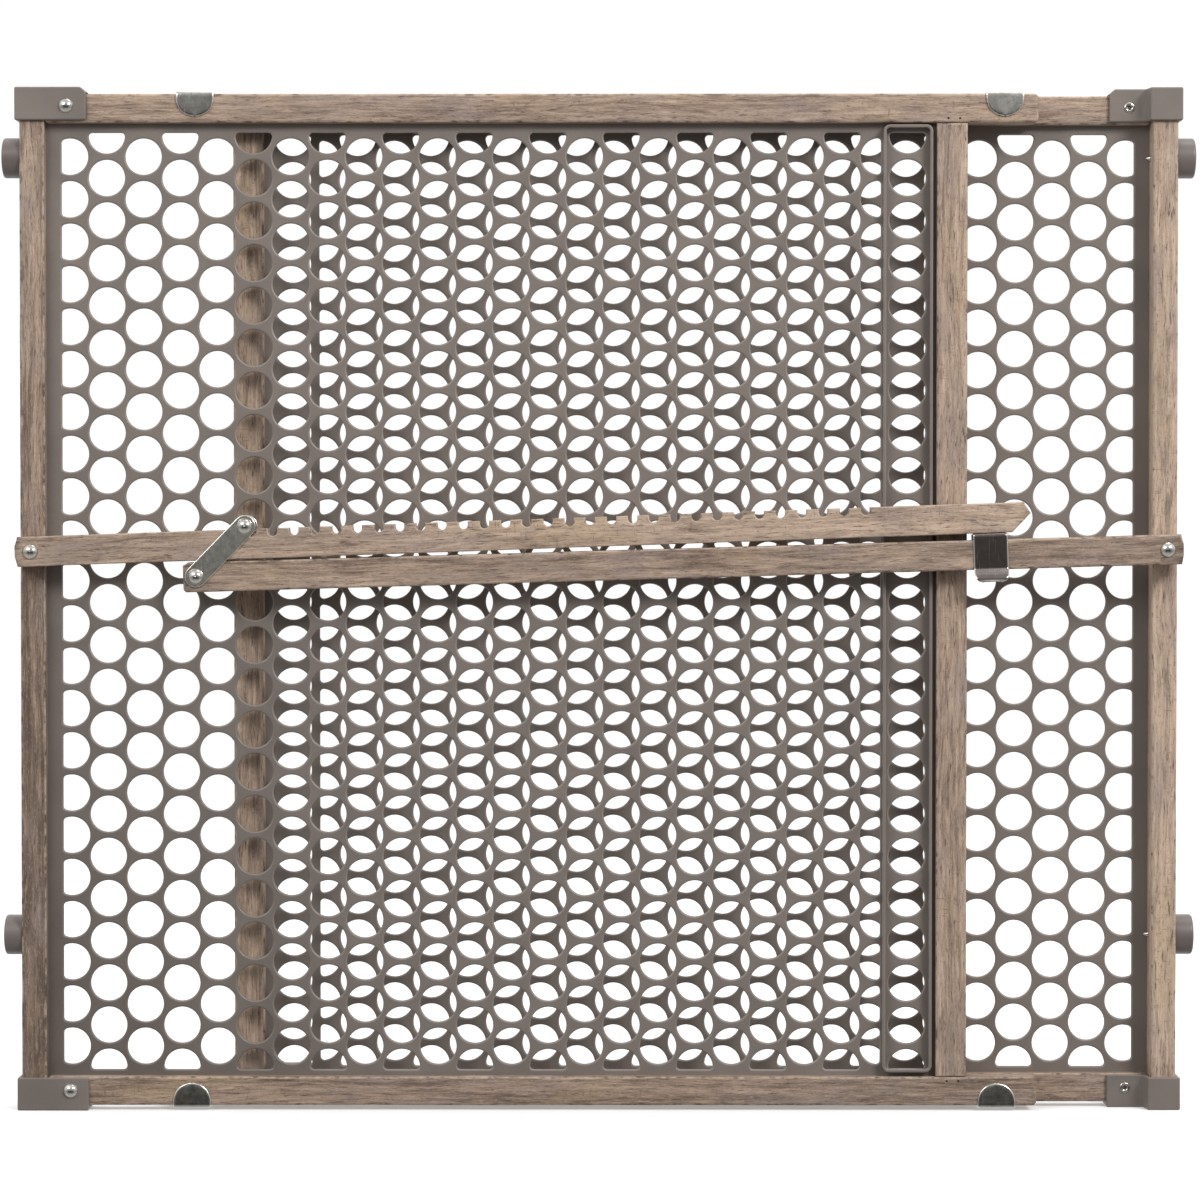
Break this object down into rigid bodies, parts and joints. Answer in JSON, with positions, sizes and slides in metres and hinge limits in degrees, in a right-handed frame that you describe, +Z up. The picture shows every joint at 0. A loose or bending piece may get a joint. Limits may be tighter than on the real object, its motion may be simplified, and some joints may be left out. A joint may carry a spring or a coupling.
{
  "type": "safety gate",
  "caption": "Pressure-mounted wooden safety gate of two sliding panels with round-hole plastic mesh, locked by a notched bar and a pivoting link.",
  "frame": {"origin": "on the floor, midway along the closed gate and midway between its front-most and rear-most points", "axes": "+X along the gate to the right seen from the front, +Y from the front (the side with the bars) to the back, +Z up"},
  "size_m": [0.714, 0.056, 0.612],
  "materials": {
    "grey_wood": "weathered grey-brown stain",
    "taupe_plastic": "fine matte moulding",
    "bumper_rubber": "matte",
    "nickel": "bright nickel plate"
  },
  "bodies": {
    "front_panel": {"front_top_rail": "grey_wood", "front_bottom_rail": "grey_wood", "front_outer_stile": "grey_wood", "front_inner_stile": "grey_wood", "front_mesh": "taupe_plastic", "front_top_cap": "taupe_plastic", "front_bottom_cap": "taupe_plastic", "front_cap_rivets": "nickel", "front_top_guide": "nickel", "front_bottom_guide": "nickel", "front_guide_nails": "nickel", "front_top_bumper": "bumper_rubber", "front_bottom_bumper": "bumper_rubber", "front_bumper_screws": "nickel", "front_frame_nails": "nickel", "notched_bar_rivet": "nickel", "notched_bar_washer": "nickel"},
    "rear_panel": {"rear_top_rail": "grey_wood", "rear_bottom_rail": "grey_wood", "rear_outer_stile": "grey_wood", "rear_inner_stile": "grey_wood", "rear_mesh": "taupe_plastic", "rear_top_cap": "taupe_plastic", "rear_bottom_cap": "taupe_plastic", "rear_cap_rivets": "nickel", "rear_top_guide": "nickel", "rear_bottom_guide": "nickel", "rear_guide_nails": "nickel", "rear_top_bumper": "bumper_rubber", "rear_bottom_bumper": "bumper_rubber", "rear_bumper_screws": "nickel", "rear_frame_nails": "nickel", "locking_bar_rivet": "nickel", "locking_bar_spacer": "nickel"},
    "notched_bar": {"notched_bar": "grey_wood", "bar_clip": "nickel", "bar_clip_nails": "nickel"},
    "locking_bar": {"locking_bar": "grey_wood", "link_rivet": "nickel"},
    "link": {"link_front_plate": "nickel", "link_rear_plate": "nickel", "link_pin": "nickel"}
  },
  "joints": [
    {"name": "panel_slide", "type": "slide", "parent": "front_panel", "child": "rear_panel", "axis": [1, 0, 0], "range_m": [0, 0.3528]},
    {"name": "notched_bar_lift", "type": "hinge", "parent": "front_panel", "child": "notched_bar", "pos_m": [-0.338, -0.01655, 0.3351], "axis": [0, -1, 0], "range_deg": [0, 5.6]},
    {"name": "locking_bar_level", "type": "hinge", "parent": "rear_panel", "child": "locking_bar", "pos_m": [0.338, -0.01655, 0.3363], "axis": [0, -1, 0], "range_deg": [-1.3, 0]},
    {"name": "link_swing", "type": "hinge", "parent": "locking_bar", "child": "link", "pos_m": [-0.23958, -0.01655, 0.32026], "axis": [0, -1, 0], "range_deg": [0, 76]}
  ],
  "couplings": [
    {"joint": "locking_bar_level", "follows": "panel_slide", "rad_per_m": -0.063},
    {"joint": "link_swing", "follows": "notched_bar_lift", "ratio": 13.4}
  ]
}
